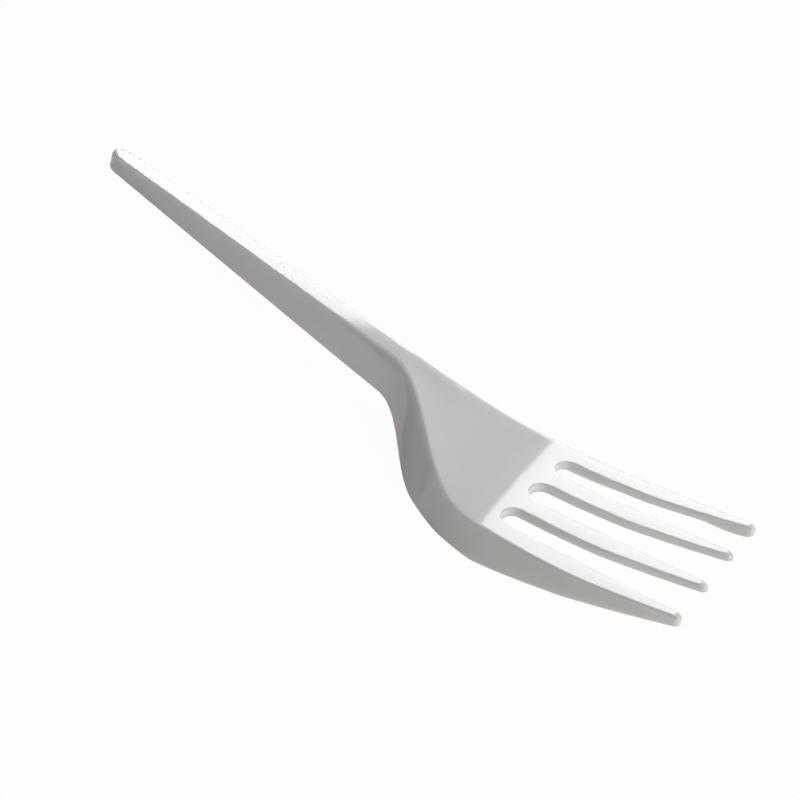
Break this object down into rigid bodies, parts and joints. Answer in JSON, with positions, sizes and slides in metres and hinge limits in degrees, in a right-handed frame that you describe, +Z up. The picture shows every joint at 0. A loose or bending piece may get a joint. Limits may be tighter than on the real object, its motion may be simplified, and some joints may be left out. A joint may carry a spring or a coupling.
{
  "type": "plastic fork",
  "caption": "Light disposable table fork moulded in one piece: a narrow grip, a shallow bowl with a hanging skirt and a hollow underside, and slim tapering tines.",
  "frame": {"origin": "middle of the bounding box at the level of the table that the fork lies on", "axes": "+X along the fork towards the tips of the tines, +Z up out of the face of the bowl, +Y across the fork"},
  "size_m": [0.151, 0.0296, 0.0227],
  "materials": {
    "white_plastic": "glossy moulded white polystyrene"
  },
  "bodies": {
    "root": {"fork": "white_plastic"}
  },
  "joints": []
}
